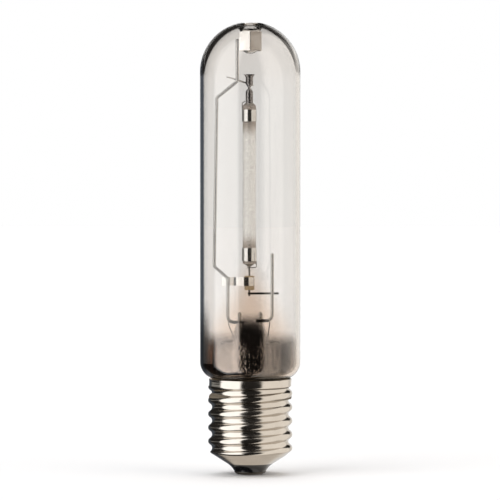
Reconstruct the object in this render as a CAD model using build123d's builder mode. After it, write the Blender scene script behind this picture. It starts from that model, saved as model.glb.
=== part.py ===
from build123d import *
import os
from math import asin, atan2, cos, degrees, hypot, radians, sin, sqrt

# Tubular high-pressure sodium grow lamp, 150 W size, with an E40 screw cap.
# Millimetres, +Z along the lamp's axis with the cap down. The origin is the centre of the
# end contact's flat face. -Y is the front, where the frame's welds lie on the lead-in rods.

# Outer bulb: a drawn glass tube with a dome, a re-entrant tube in the dome and a necked foot
lamp_length = 210.0
bulb_diameter = 46.5
bulb_wall = 1.6
shoulder_radius = 8.0
shoulder_rise = 7.8          # from the cap's rim to where the bulb reaches its full width
neck_curve_radius = 3.0
neck_length = 11.0           # glass neck below the cap's rim
dimple_diameter = 9.6        # re-entrant tube, on its vacuum side
dimple_wall = 1.1
dimple_depth = 14.4
dimple_mouth_radius = 1.2

# Screw cap: shell drawn from nickel-plated brass sheet, E40 sizes
cap_height = 44.6
screw_diameter = 39.1
screw_depth = 1.8            # depth of the rolled thread, which the neck has to clear
thread_pitch = 6.35
thread_end_drop = 5.35       # from the cap's rim down to the root above the last turn
thread_start_run = 0.8       # straight root below the first turn
thread_runout = 3.0          # from the cone's corner up to where the first turn starts
shell_wall = 0.35
shell_corner_radius = 1.5    # between the cone and the screw part
shell_root_bend = 0.7        # at the root below the skirt and at the skirt's foot
skirt_step = 1.35            # of the skirt beyond the thread's root
skirt_height = 3.8
rim_diameter = 21.8          # lower end of the shell's cone
rim_height = 5.3
cone_spare = 0.9             # least height of the cone above the insulator
cement_gap = 1.0             # least thickness of the basing cement

# End contact, its solder and the vitrite insulator
contact_diameter = 14.7
contact_flat_diameter = 9.0
contact_thickness = 1.6
contact_edge = 0.4
eyelet_diameter = 2.6
insulator_thickness = 4.2    # above the shell's rim
insulator_waist = 0.35       # hollow of the insulator's cone

# Stem: flare, tube and flat press
stem_top = 64.2
stem_diameter = 12.0
stem_wall = 1.0
press_width = 12.8
press_thickness = 5.2
press_height = 5.0
press_blend = 2.8            # round tube to flat press
press_side_flat = 0.4        # flat on the press's narrow sides
press_edge_radius = 1.0
stem_tube_length = 3.4       # plain tube between the press and the flare
flare_rim_height = 2.5
exhaust_diameter = 4.6
exhaust_wall = 0.7
exhaust_length = 31.0
exhaust_orifice = 2.2

# Lead-in rods and the copper leads below them
lead_in_diameter = 1.8
lead_in_spacing = 9.7
lead_in_height = 11.2        # above the press
lead_in_seal = 4.2           # length of rod inside the press
lead_in_rounding = 0.9       # of the rod's radius, at its top
outer_lead_diameter = 0.8
outer_lead_spacing = 8.0
outer_lead_run = 1.2         # straight run of copper below the rod
outer_lead_bend = 1.0
outer_lead_drop = 1.8        # side lead below the foot of the neck
side_lead_reach = 0.7        # out of the skirt, inside the solder
side_hole_clearance = 0.1
lead_centring = 8.0          # height over which the other lead comes to the axis

# Wire frame
frame_diameter = 1.5
frame_bend = 1.6
foot_bend = 2.8              # wider bends above the lead-in rods
frame_foot = 6.7             # above the press
frame_out = 16.6             # distance of the long run from the axis
frame_lean = 1.2             # inwards, at the top of the long run
frame_low_in = 10.3          # distance of the short run above the foot
frame_bend_drop = 0.8        # from the upper cross wire to the bend below it
frame_shoulder_drop = 7.6
frame_short_run = 20.3       # height of the short run above the foot
frame_hip_drop = 5.6
foot_overrun = 1.2           # wire end past the lead-in rod
post_out = 10.2
post_foot = 7.4
post_height = 31.2           # above its foot
weld_sink = 0.04             # how far two wires sink into each other at a weld

# Strap round the dimple
strap_height = 8.0
strap_top = 5.1              # below the top of the lamp
strap_thickness = 0.35
strap_gap = 0.05             # to the glass
strap_lap = 3.0              # weld of the frame wire on the strap, below the strap's top

# Burner
burner_headroom = 38.7       # from the arc tube's upper end to the top of the lamp
burner_rise = 33.7           # from the press to the arc tube's lower end
arc_tube_diameter = 6.2
arc_tube_wall = 0.75
burner_shift = -0.4
plug_length = 3.5
upper_band_height = 5.5
lower_band_height = 6.1
upper_band_inset = 1.9
lower_band_inset = 1.3
band_thickness = 0.3
band_gap_angle = 14.0
electrode_diameter = 0.9
electrode_coil_diameter = 2.0
electrode_coil_length = 3.2
electrode_point = 1.6        # bare rod past the coil
electrode_reach = 3.8        # beyond the heat band
upper_frit_height = 1.0
lower_frit_height = 1.3
frit_edge = 0.3              # bare ceramic beside the frit, and the frit's own thin edge
tail_diameter = 0.4
upper_tail_rise = 3.0
lower_tail_drop = 2.9
tail_bend = 0.5
tail_clearance = 0.02        # to the ceramic beside the band
upper_tail_hook = 0.9        # rise of its hook towards the niobium
lower_tail_slope = 0.3
lower_tail_overrun = 1.1     # past the lead
lower_tail_angle = 10.0      # from the burner's side towards the front

# Niobium tube above the burner, crimped in two directions, and the plain lead below it
niobium_diameter = 3.4
niobium_wall = 0.25
niobium_neck = 8.1           # first crimp, above the arc tube's end
niobium_top = 15.2
crimp_width = 5.0
crimp_thickness = 1.0
crimp_blend = 1.7
top_crimp_blend = 2.1
dose_height = 1.5
lower_lead_diameter = 0.9
lower_lead_length = 15.0

# Cross wires
upper_cross_diameter = 0.7
upper_cross_rise = 11.9      # above the arc tube's end, where it passes the frame wire
upper_cross_slope = 0.342
upper_cross_left = 4.9
upper_cross_right = 3.1
lower_cross_diameter = 1.0
lower_cross_rise = 1.3       # above the lower lead's end
lower_cross_left = 0.7
lower_cross_right = 3.0

# Guide at the burner's lower end: a sheet strap curled round a ceramic bush
bush_diameter = 4.6
bush_height = 6.6
bush_bore_clearance = 0.1
bush_edge_radius = 0.4
bush_drop = 0.75             # its middle below the strap's
guide_height = 4.0
guide_thickness = 0.3
guide_tab = 2.8
guide_flat = 3.5             # straight run beyond the frame wire
guide_wrap_angle = 290.0
guide_drop = 8.1             # below the arc tube's end

# Getter ring on two thin wires
getter_diameter = 26.0
getter_width = 1.6
getter_height = 1.0
getter_wall = 0.25
getter_drop = 3.0            # below the stem's top
getter_wire_diameter = 0.5
getter_left_angle = 234.0
getter_right_angle = 46.0
getter_left_inset = 0.4      # of the left wire from the frame wire's short run
getter_right_inset = 1.2     # of the right wire from the post
getter_wire_rise = 1.6       # above its weld
getter_wire_fall = 1.2       # straight run below its weld
getter_wire_foot = 2.0       # straight run above the ring
getter_wire_bend = 0.8

# Solder and cement
cement_top = 0.8             # below the cap's rim
cement_length = 8.5
cement_channel = 1.4         # width of the side lead's channel
side_solder_radius = 1.5
side_solder_depth = 0.5      # centre of its dome, inside the skirt's face

# Derived places
bulb_radius = bulb_diameter / 2
dome_centre = lamp_length - bulb_radius
screw_radius = screw_diameter / 2
root_radius = screw_radius - screw_depth
skirt_foot = cap_height - skirt_height
insulator_top = rim_height + insulator_thickness
thread_end = cap_height - thread_end_drop
thread_room = thread_end - thread_runout - insulator_top - cone_spare
thread_turns = int(thread_room / thread_pitch)
thread_start = thread_end - thread_turns * thread_pitch
cone_top = thread_start - thread_runout
neck_radius = root_radius - shell_wall - cement_gap
neck_inner = neck_radius - bulb_wall
neck_bottom = cap_height - neck_length
tube_foot = cap_height + shoulder_rise
dimple_radius = dimple_diameter / 2
dimple_end = lamp_length - dimple_depth + dimple_radius
rod_x = lead_in_spacing / 2
rod_bottom = stem_top - lead_in_seal
rod_top = stem_top + lead_in_height
lead_in_radius = lead_in_diameter / 2
frame_radius = frame_diameter / 2
wire_plane = -(lead_in_radius + frame_radius - weld_sink)
strap_apothem = dimple_radius + strap_gap + strap_thickness
frame_top_x = -(strap_apothem + frame_radius)
lower_cross_y = wire_plane + frame_radius + lower_cross_diameter / 2 - weld_sink
burner_y = lower_cross_y + (lower_cross_diameter + lower_lead_diameter) / 2 - weld_sink
burner_top = lamp_length - burner_headroom
burner_bottom = stem_top + burner_rise
arc_tube_length = burner_top - burner_bottom
arc_tube_radius = arc_tube_diameter / 2
arc_tube_bore = arc_tube_radius - arc_tube_wall
band_middle = arc_tube_radius + band_thickness / 2
upper_band_top = burner_top - upper_band_inset
upper_band_bottom = upper_band_top - upper_band_height
lower_band_bottom = burner_bottom + lower_band_inset
lower_band_top = lower_band_bottom + lower_band_height
lower_lead_end = burner_bottom - lower_lead_length
stem_radius = stem_diameter / 2
frame_end_x = rod_x - foot_overrun - lead_in_radius
foot_z = stem_top + frame_foot
frame_hip = foot_z + frame_short_run + frame_hip_drop
post_foot_z = stem_top + post_foot
press_base = stem_top - press_height - press_blend
flare_top = press_base - stem_tube_length
exhaust_tip = press_base - exhaust_length
rim_radius = rim_diameter / 2
skirt_radius = root_radius + skirt_step
cone_slope = (screw_radius - rim_radius) / (cone_top - rim_height)
rim_inner = rim_radius - shell_wall * hypot(1, cone_slope)
contact_radius = contact_diameter / 2
eyelet_radius = eyelet_diameter / 2
strap_top_z = lamp_length - strap_top
guide_centre = burner_bottom - guide_drop
upper_cross_height = burner_top + upper_cross_rise
frame_shoulder_top = upper_cross_height - frame_bend_drop

os.makedirs("parts", exist_ok=True)


def burner_plane(height):
    """A level plane on the burner's own axis."""
    return Plane(origin=(burner_shift, burner_y, height))


def round_wire(points, radii, diameter):
    """A round wire in the open builder, through the corners given, with an arc at each."""
    with BuildLine() as path:
        FilletPolyline(*points, radius=radii)
    with BuildSketch(Plane(origin=path.line @ 0, z_dir=path.line % 0)) as section:
        Circle(diameter / 2)
    sweep(sections=section.sketch, path=path.line)


def write(name, part):
    """Labels a finished piece and writes its STEP file."""
    part.label = name
    export_step(part, f"parts/{name}.step")


# ---------------------------------------------------------------- outer bulb
# The outer wall runs from the foot of the neck over the shoulder and dome into the dimple.
# The shoulder and the neck's curve are two arcs, tangent to each other and to the walls.
shoulder_centre = (bulb_radius - shoulder_radius, tube_foot)
neck_curve_x = neck_radius + neck_curve_radius
curve_reach = shoulder_radius + neck_curve_radius
curve_drop = sqrt(curve_reach**2 - (neck_curve_x - shoulder_centre[0]) ** 2)
share = shoulder_radius / curve_reach
inflection = (
    shoulder_centre[0] + (neck_curve_x - shoulder_centre[0]) * share,
    tube_foot - curve_drop * share,
)
dimple_bore = dimple_radius - dimple_wall
curve_foot = tube_foot - curve_drop
mouth_height = dome_centre + sqrt(bulb_radius**2 - dimple_bore**2)

with BuildPart() as bulb_body:
    with BuildSketch(Plane.XZ):
        with BuildLine():
            neck = Line((neck_radius, neck_bottom), (neck_radius, curve_foot))
            curve = RadiusArc(neck @ 1, inflection, neck_curve_radius)
            shoulder = RadiusArc(curve @ 1, (bulb_radius, tube_foot), -shoulder_radius)
            wall = Line(shoulder @ 1, (bulb_radius, dome_centre))
            dome = CenterArc((0, dome_centre), bulb_radius, 0, 90)
            Polyline(dome @ 1, (0, neck_bottom), neck @ 0)
        make_face()
    revolve(axis=Axis.Z)

with BuildPart() as outer_bulb:
    add(bulb_body.part)
    lower_face = outer_bulb.faces().sort_by(Axis.Z)[0]
    offset(amount=-bulb_wall, openings=lower_face)
    # The re-entrant tube is a closed finger of glass, let in from the dome and left open above.
    finger_outside = Plane.XY.offset(dimple_end)
    with BuildSketch(finger_outside):
        Circle(dimple_radius)
    extrude(amount=mouth_height - dimple_end - bulb_wall)
    with Locations((0, 0, dimple_end)):
        Sphere(dimple_radius)
    with BuildSketch(finger_outside):
        Circle(dimple_bore)
    extrude(amount=lamp_length - dimple_end, mode=Mode.SUBTRACT)
    with Locations((0, 0, dimple_end)):
        Sphere(dimple_bore, mode=Mode.SUBTRACT)
    mouth = outer_bulb.edges().filter_by(GeomType.CIRCLE).sort_by(Axis.Z)[-1]
    fillet(mouth, dimple_mouth_radius)
write("outer_bulb", outer_bulb.part)

# ---------------------------------------------------------------- lead-in wires
# The rods stand in the press. Their rounded tops rise past the wires welded on them.
with BuildPart() as lead_in_left:
    with BuildSketch(Plane(origin=(-rod_x, 0, rod_bottom))):
        Circle(lead_in_radius)
    extrude(amount=rod_top - rod_bottom)
    fillet(lead_in_left.edges().sort_by(Axis.Z)[-1], lead_in_radius * lead_in_rounding)
write("lead_in_left", lead_in_left.part)

with BuildPart() as lead_in_right:
    add(lead_in_left.part.mirror(Plane.YZ))
write("lead_in_right", lead_in_right.part)

# Copper leads run on from the rods, down through the stem tube into the cap.
lead_x = outer_lead_spacing / 2
lead_top = [(rod_x, 0, rod_bottom), (rod_x, 0, rod_bottom - outer_lead_run), (lead_x, 0, press_base)]
side_lead_y = neck_radius + cement_gap / 2
side_turn_z = neck_bottom - outer_lead_drop
side_hole_z = cap_height - skirt_height / 2
side_lead_route = [(-x, y, z) for x, y, z in lead_top] + [
    (-lead_x, 0, neck_bottom + outer_lead_drop),
    (-lead_x / 2, neck_inner / 2, side_turn_z),
    (0, side_lead_y, side_turn_z),
    (0, side_lead_y, side_hole_z),
    (0, skirt_radius + side_lead_reach, side_hole_z),
]
with BuildPart() as outer_lead_side:
    round_wire(side_lead_route, [outer_lead_bend] * 6, outer_lead_diameter)
write("outer_lead_side", outer_lead_side.part)

centre_lead_route = lead_top + [
    (lead_x, 0, exhaust_tip + exhaust_diameter / 2),
    (0, 0, exhaust_tip - lead_centring),
    (0, 0, contact_edge),
]
with BuildPart() as outer_lead_centre:
    round_wire(centre_lead_route, [outer_lead_bend] * 4, outer_lead_diameter)
write("outer_lead_centre", outer_lead_centre.part)

# ---------------------------------------------------------------- stem
# The flare's rim is sealed into the neck. The tube above it is pressed flat round the rods.
rim_top = neck_bottom + flare_rim_height
with BuildPart() as stem_glass:
    with BuildSketch(Plane.XZ):
        with BuildLine():
            tube = Line((stem_radius, press_base), (stem_radius, flare_top))
            flare = TangentArc(tube @ 1, (neck_inner, rim_top), tangent=tube % 1)
            Line(flare @ 1, (neck_inner, neck_bottom))
            offset(amount=stem_wall, side=Side.RIGHT, closed=True)
        make_face()
    revolve(axis=Axis.Z)
    with BuildSketch(Plane.XY.offset(press_base)):
        Circle(stem_radius)
    with BuildSketch(Plane.XY.offset(press_base + press_blend)):
        RectangleRounded(press_width, press_thickness, (press_thickness - press_side_flat) / 2)
    loft()
    press_face = stem_glass.faces().sort_by(Axis.Z)[-1]
    extrude(press_face, amount=press_height)
    fillet(stem_glass.faces().sort_by(Axis.Z)[-1].edges(), press_edge_radius)
    # The bulb is pumped through a side hole in the press, which leads into the exhaust tube.
    with Locations((0, 0, press_base)):
        Cylinder(
            exhaust_orifice / 2,
            press_blend,
            align=(Align.CENTER, Align.CENTER, Align.MIN),
            mode=Mode.SUBTRACT,
        )
    with BuildSketch(Plane(origin=(0, 0, press_base + press_blend), z_dir=(0, 1, 0))):
        Circle(exhaust_orifice / 2)
    extrude(amount=stem_diameter, mode=Mode.SUBTRACT)
    for lead in (lead_in_left, lead_in_right, outer_lead_side, outer_lead_centre):
        add(lead.part, mode=Mode.SUBTRACT)
write("stem_glass", stem_glass.part)

exhaust_radius = exhaust_diameter / 2
exhaust_bore = exhaust_radius - exhaust_wall
with BuildPart() as exhaust_tube:
    with BuildSketch(Plane.XZ):
        with BuildLine():
            top = Line((exhaust_bore, press_base), (exhaust_radius, press_base))
            outside = Line(top @ 1, (exhaust_radius, exhaust_tip + exhaust_radius))
            tip = CenterArc((0, exhaust_tip + exhaust_radius), exhaust_radius, 0, -90)
            seal = Line(tip @ 1, (0, exhaust_tip + exhaust_radius))
            Polyline(seal @ 1, (exhaust_bore, exhaust_tip + exhaust_diameter), top @ 0)
        make_face()
    revolve(axis=Axis.Z)
write("exhaust_tube", exhaust_tube.part)

# ---------------------------------------------------------------- frame wire and support post
# Both are welded on the front of the lead-in rods and lie in one plane.
frame_corners = [
    (frame_top_x, wire_plane, strap_top_z - strap_lap),
    (frame_top_x, wire_plane, frame_shoulder_top),
    (-frame_out + frame_lean, wire_plane, frame_shoulder_top - frame_shoulder_drop),
    (-frame_out, wire_plane, frame_hip),
    (-frame_low_in, wire_plane, frame_hip - frame_hip_drop),
    (-frame_low_in, wire_plane, foot_z),
    (-frame_end_x, wire_plane, foot_z),
]
with BuildPart() as frame_wire:
    round_wire(frame_corners, [frame_bend] * 4 + [foot_bend], frame_diameter)
write("frame_wire", frame_wire.part)

post_corners = [
    (post_out, wire_plane, post_foot_z + post_height),
    (post_out, wire_plane, post_foot_z),
    (frame_end_x, wire_plane, post_foot_z),
]
with BuildPart() as support_post:
    round_wire(post_corners, [foot_bend], frame_diameter)
write("support_post", support_post.part)

# ---------------------------------------------------------------- strap on the dimple
# Sheet folded into a hexagon round the glass, with one flat on each side of the lamp.
with BuildPart() as dimple_strap:
    with BuildSketch(Plane.XY.offset(strap_top_z - strap_height)):
        RegularPolygon(strap_apothem, 6, major_radius=False, rotation=30)
        RegularPolygon(
            strap_apothem - strap_thickness, 6, major_radius=False, rotation=30, mode=Mode.SUBTRACT
        )
    extrude(amount=strap_height)
    folds = dimple_strap.edges().filter_by(Axis.Z)
    fillet(folds.sort_by_distance((0, 0, strap_top_z - strap_height / 2))[-6:], strap_thickness)
write("dimple_strap", dimple_strap.part)

# ---------------------------------------------------------------- burner
with BuildPart() as arc_tube:
    with BuildSketch(burner_plane(burner_bottom)):
        Circle(arc_tube_radius)
        Circle(arc_tube_bore, mode=Mode.SUBTRACT)
    extrude(amount=arc_tube_length)
write("arc_tube", arc_tube.part)

niobium_radius = niobium_diameter / 2
lead_radius = lower_lead_diameter / 2
plug_faces = {"upper": burner_top - plug_length, "lower": burner_bottom}
plug_bores = {"upper": niobium_radius, "lower": lead_radius}
for end, start in plug_faces.items():
    with BuildPart() as end_plug:
        with BuildSketch(burner_plane(start)):
            Circle(arc_tube_bore)
            Circle(plug_bores[end], mode=Mode.SUBTRACT)
        extrude(amount=plug_length)
    write(f"{end}_end_plug", end_plug.part)

# Each electrode is a tungsten rod with a wound head, butted on the niobium.
electrode_starts = {"upper": burner_top - plug_length, "lower": burner_bottom + plug_length}
electrode_tips = {"upper": upper_band_bottom - electrode_reach, "lower": lower_band_top + electrode_reach}
for end, start in electrode_starts.items():
    length = electrode_tips[end] - start
    inwards = 1 if length > 0 else -1
    coil_start = electrode_tips[end] - inwards * (electrode_point + electrode_coil_length)
    with BuildPart() as electrode:
        with BuildSketch(burner_plane(start)):
            Circle(electrode_diameter / 2)
        extrude(amount=length)
        with BuildSketch(burner_plane(coil_start)):
            Circle(electrode_coil_diameter / 2)
        extrude(amount=inwards * electrode_coil_length)
    write(f"{end}_electrode", electrode.part)

# Heat bands: sheet bent round the ends of the arc tube, with a gap at the back.
band_starts = {"upper": upper_band_bottom, "lower": lower_band_bottom}
band_heights = {"upper": upper_band_height, "lower": lower_band_height}
for end, start in band_starts.items():
    with BuildPart() as heat_band:
        with BuildSketch(burner_plane(start)):
            with BuildLine():
                CenterArc((0, 0), band_middle, 90 + band_gap_angle / 2, 360 - band_gap_angle)
            trace(line_width=band_thickness)
        extrude(amount=band_heights[end])
    write(f"{end}_heat_band", heat_band.part)

# A thin tail from each band touches the niobium, so that the band follows its potential.
tail_radius = tail_diameter / 2
tail_out = arc_tube_radius + tail_radius + tail_clearance
tail_y = burner_y - lead_radius - tail_radius
upper_tail_top = upper_band_top + upper_tail_rise
upper_tail_route = [
    (burner_shift - tail_out, burner_y, upper_band_top),
    (burner_shift - tail_out, burner_y, upper_tail_top),
    (burner_shift - niobium_radius - tail_radius, burner_y, upper_tail_top + upper_tail_hook),
]
with BuildPart() as upper_band_tail:
    round_wire(upper_tail_route, [tail_bend], tail_diameter)
write("upper_band_tail", upper_band_tail.part)

lower_tail_x = burner_shift + tail_out * cos(radians(lower_tail_angle))
lower_tail_y = burner_y - tail_out * sin(radians(lower_tail_angle))
lower_tail_z = lower_band_bottom - lower_tail_drop
lower_tail_route = [
    (lower_tail_x, lower_tail_y, lower_band_bottom),
    (lower_tail_x, lower_tail_y, lower_tail_z),
    (burner_shift - lower_tail_overrun, tail_y, lower_tail_z - lower_tail_slope),
]
with BuildPart() as lower_band_tail:
    round_wire(lower_tail_route, [tail_bend], tail_diameter)
write("lower_band_tail", lower_band_tail.part)

# The niobium tube enters the upper plug. Above it the tube is crimped front to back and then,
# at the top, side to side. The dose lies in the tube's lower end.
stations = [
    (niobium_neck - crimp_blend, niobium_radius, niobium_radius),
    (niobium_neck, crimp_thickness / 2, crimp_width / 2),
    (niobium_neck + crimp_blend, niobium_radius, niobium_radius),
    (niobium_top - top_crimp_blend, niobium_radius, niobium_radius),
    (niobium_top, crimp_width / 2, crimp_thickness / 2),
]
with BuildPart() as niobium_tube:
    with BuildSketch(burner_plane(burner_top - plug_length)):
        Circle(niobium_radius)
    extrude(amount=plug_length + stations[0][0])
    for lower, upper in zip(stations, stations[1:]):
        for height, half_x, half_y in (lower, upper):
            with BuildSketch(burner_plane(burner_top + height)):
                Ellipse(half_x, half_y)
        loft()
    with BuildSketch(burner_plane(burner_top - plug_length + niobium_wall)):
        Circle(niobium_radius - niobium_wall)
    extrude(amount=plug_length + stations[0][0] - niobium_wall, mode=Mode.SUBTRACT)
write("niobium_tube", niobium_tube.part)

with BuildPart() as amalgam_dose:
    with BuildSketch(burner_plane(burner_top - plug_length + niobium_wall)):
        Circle(niobium_radius - niobium_wall)
    extrude(amount=dose_height)
write("amalgam_dose", amalgam_dose.part)

with BuildPart() as niobium_lead:
    with BuildSketch(burner_plane(lower_lead_end)):
        Circle(lead_radius)
    extrude(amount=lower_lead_length + plug_length)
write("niobium_lead", niobium_lead.part)

# Glass frit seals the niobium to the ceramic at each end.
frit_shapes = {
    "upper": (burner_top, upper_frit_height, niobium_radius, arc_tube_radius - frit_edge),
    "lower": (burner_bottom, -lower_frit_height, lead_radius, arc_tube_bore),
}
for end, (start, height, bore, foot) in frit_shapes.items():
    with BuildPart() as frit_seal:
        with BuildSketch(Plane.XZ.offset(-burner_y)):
            with BuildLine():
                Polyline(
                    (burner_shift + bore, start),
                    (burner_shift + foot, start),
                    (burner_shift + bore + frit_edge, start + height),
                    (burner_shift + bore, start + height),
                    close=True,
                )
            make_face()
        revolve(axis=Axis((burner_shift, burner_y, 0), (0, 0, 1)))
    write(f"{end}_frit_seal", frit_seal.part)

# ---------------------------------------------------------------- cross wires
# The upper wire passes behind the frame wire and behind the niobium tube, welded to both.
reach = (frame_diameter + upper_cross_diameter) / 2 - weld_sink
tube_reach = (niobium_diameter + upper_cross_diameter) / 2 - weld_sink
run_x, run_y = burner_shift - frame_top_x, burner_y - wire_plane
heading = atan2(run_y, run_x) + asin((tube_reach - reach) / hypot(run_x, run_y))
along = (cos(heading), sin(heading))
cross_x, cross_y = frame_top_x - reach * along[1], wire_plane + reach * along[0]
cross_ends = [
    (
        cross_x + distance * along[0],
        cross_y + distance * along[1],
        upper_cross_height - distance * upper_cross_slope * along[0],
    )
    for distance in (-upper_cross_left, hypot(run_x, run_y) + upper_cross_right)
]
with BuildPart() as upper_cross_wire:
    start, stop = Vector(cross_ends[0]), Vector(cross_ends[1])
    with BuildSketch(Plane(origin=start, z_dir=stop - start)):
        Circle(upper_cross_diameter / 2)
    extrude(amount=(stop - start).length)
write("upper_cross_wire", upper_cross_wire.part)

# The lower wire passes between the support post and the burner's lower lead.
with BuildPart() as lower_cross_wire:
    cross_start = (burner_shift - lower_cross_left, lower_cross_y, lower_lead_end + lower_cross_rise)
    with BuildSketch(Plane(origin=cross_start, z_dir=(1, 0, 0))):
        Circle(lower_cross_diameter / 2)
    extrude(amount=post_out + lower_cross_right - cross_start[0])
write("lower_cross_wire", lower_cross_wire.part)

# ---------------------------------------------------------------- guide strap and bush
# The strap is welded behind the frame wire and curls round the front of the bush.
bush_radius = bush_diameter / 2
curl_radius = bush_radius + guide_thickness / 2
strap_y = wire_plane + (frame_diameter + guide_thickness) / 2
bend_x = -frame_low_in + guide_flat
toward = atan2(burner_y - strap_y, burner_shift - bend_x)
bush_distance = hypot(burner_shift - bend_x, burner_y - strap_y)
run_angle = toward - asin(curl_radius / bush_distance)
run_length = sqrt(bush_distance**2 - curl_radius**2)
curl_start = (bend_x + run_length * cos(run_angle), strap_y + run_length * sin(run_angle))
with BuildPart() as guide_strap:
    with BuildSketch(Plane.XY.offset(guide_centre - guide_height / 2)):
        with BuildLine():
            Polyline((-frame_low_in - guide_tab, strap_y), (bend_x, strap_y), curl_start)
            CenterArc(
                (burner_shift, burner_y), curl_radius, degrees(run_angle) - 90, guide_wrap_angle
            )
        trace(line_width=guide_thickness)
    extrude(amount=guide_height)
write("guide_strap", guide_strap.part)

with BuildPart() as guide_bush:
    with BuildSketch(burner_plane(guide_centre - bush_drop - bush_height / 2)):
        Circle(bush_radius)
    extrude(amount=bush_height)
    fillet(guide_bush.edges().filter_by(GeomType.CIRCLE), bush_edge_radius)
    with BuildSketch(burner_plane(guide_centre - bush_drop - bush_height / 2)):
        Circle(lead_radius + bush_bore_clearance)
    extrude(amount=bush_height, mode=Mode.SUBTRACT)
write("guide_bush", guide_bush.part)

# ---------------------------------------------------------------- getter ring
ring_z = stem_top - getter_drop
getter_radius = getter_diameter / 2
with BuildPart() as getter_ring:
    with BuildSketch(Plane.XZ):
        with Locations((getter_radius, ring_z)):
            Rectangle(getter_width, getter_height)
        with Locations((getter_radius, ring_z + getter_wall)):
            Rectangle(getter_width - 2 * getter_wall, getter_height, mode=Mode.SUBTRACT)
    revolve(axis=Axis.Z)
write("getter_ring", getter_ring.part)

# Two thin wires, welded on the front of the frame's bends, stand inside the ring.
wire_front = wire_plane - (frame_diameter + getter_wire_diameter) / 2 + weld_sink
ring_inside = getter_radius - (getter_width + getter_wire_diameter) / 2 + weld_sink
getter_wires = {
    "left": (-frame_low_in + getter_left_inset, foot_z, getter_left_angle),
    "right": (post_out - getter_right_inset, post_foot_z, getter_right_angle),
}
for side, (start_x, weld_z, angle) in getter_wires.items():
    ring_x, ring_y = ring_inside * cos(radians(angle)), ring_inside * sin(radians(angle))
    with BuildPart() as getter_support:
        round_wire(
            [
                (start_x, wire_front, weld_z + getter_wire_rise),
                (start_x, wire_front, weld_z - getter_wire_fall),
                (ring_x, ring_y, ring_z + getter_wire_foot),
                (ring_x, ring_y, ring_z - getter_height / 2),
            ],
            [getter_wire_bend] * 2,
            getter_wire_diameter,
        )
    write(f"getter_support_{side}", getter_support.part)

# ---------------------------------------------------------------- screw cap
# One sheet shell: cone, rolled screw part, skirt. The rolled wave has its crests and roots as
# equal arcs, each tangent to the next. Here the turns are closed rings at the thread's pitch,
# set where the real thread crosses the lamp's front.
wave_middle = root_radius + screw_depth / 2
foot_corners = [
    (rim_radius, rim_height),
    (screw_radius, cone_top),
    (root_radius, thread_start - thread_start_run),
    (root_radius, thread_start),
]
skirt_corners = [
    (root_radius, thread_end),
    (root_radius, (thread_end + skirt_foot) / 2),
    (skirt_radius, skirt_foot),
    (skirt_radius, cap_height),
]
with BuildPart() as cap_body:
    with BuildSketch(Plane.XZ):
        with BuildLine():
            foot = FilletPolyline(*foot_corners, radius=shell_corner_radius)
            wave_height = thread_start + thread_pitch / 4
            wave = TangentArc(foot @ 1, (wave_middle, wave_height), tangent=foot % 1)
            for half_turn in range(1, 2 * thread_turns):
                wave_height = thread_start + thread_pitch * (half_turn / 2 + 1 / 4)
                wave = TangentArc(wave @ 1, (wave_middle, wave_height), tangent=wave % 1)
            collar = FilletPolyline(*skirt_corners, radius=shell_root_bend)
            TangentArc(wave @ 1, collar @ 0, tangent=wave % 1)
            Polyline(collar @ 1, (0, cap_height), (0, rim_height), foot @ 0)
        make_face()
    revolve(axis=Axis.Z)

with BuildPart() as cap_sheet:
    add(cap_body.part)
    ends = cap_sheet.faces().filter_by(Axis.Z).sort_by(Axis.Z)
    offset(amount=-shell_wall, openings=[ends[0], ends[-1]])

with BuildPart() as cap_shell:
    add(cap_sheet.part)
    with BuildSketch(Plane(origin=(0, 0, side_hole_z), z_dir=(0, 1, 0))):
        Circle(outer_lead_diameter / 2 + side_hole_clearance)
    extrude(amount=screw_radius, mode=Mode.SUBTRACT)
write("cap_shell", cap_shell.part)

# Cement fills the shell from its face down to its foot round the neck, but for a channel at
# the back in which the side lead rises.
cement_face = cap_height - cement_top
cement_foot = cement_face - cement_length
neck_at_face = neck_curve_x - sqrt(neck_curve_radius**2 - (cement_face - curve_foot) ** 2)
with BuildPart() as cap_inside:
    add(cap_body.part)
    add(cap_sheet.part, mode=Mode.SUBTRACT)

with BuildPart() as cap_cement:
    with BuildSketch(Plane.XZ):
        with BuildLine():
            inside = Line((neck_radius, cement_foot), (neck_radius, curve_foot))
            swell = RadiusArc(inside @ 1, (neck_at_face, cement_face), neck_curve_radius)
            Polyline(
                swell @ 1,
                (screw_radius, cement_face),
                (screw_radius, cement_foot),
                inside @ 0,
            )
        make_face()
    revolve(axis=Axis.Z)
    add(cap_inside.part, mode=Mode.INTERSECT)
    with BuildSketch(Plane.XY.offset(cement_foot)):
        with Locations((0, neck_inner)):
            Rectangle(cement_channel, skirt_radius, align=(Align.CENTER, Align.MIN))
    extrude(amount=cement_length, mode=Mode.SUBTRACT)
write("cap_cement", cap_cement.part)

with BuildPart() as side_solder:
    with Locations((0, skirt_radius - side_solder_depth, side_hole_z)):
        Sphere(side_solder_radius)
    Cylinder(skirt_radius, 2 * cap_height, mode=Mode.SUBTRACT)
    add(outer_lead_side.part, mode=Mode.SUBTRACT)
write("side_solder", side_solder.part)

# Black vitrite insulator, moulded into the cone, with the end contact set in its face.
with BuildPart() as cap_insulator:
    with BuildSketch(Plane.XZ):
        with BuildLine():
            face = Line((eyelet_radius, contact_thickness), (contact_radius, contact_thickness))
            waist = SagittaArc(face @ 1, (rim_radius, rim_height), insulator_waist)
            Polyline(
                waist @ 1,
                (rim_inner, rim_height),
                (rim_inner + insulator_thickness * cone_slope, insulator_top),
                (eyelet_radius, insulator_top),
                face @ 0,
            )
        make_face()
    revolve(axis=Axis.Z)
write("cap_insulator", cap_insulator.part)

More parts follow.
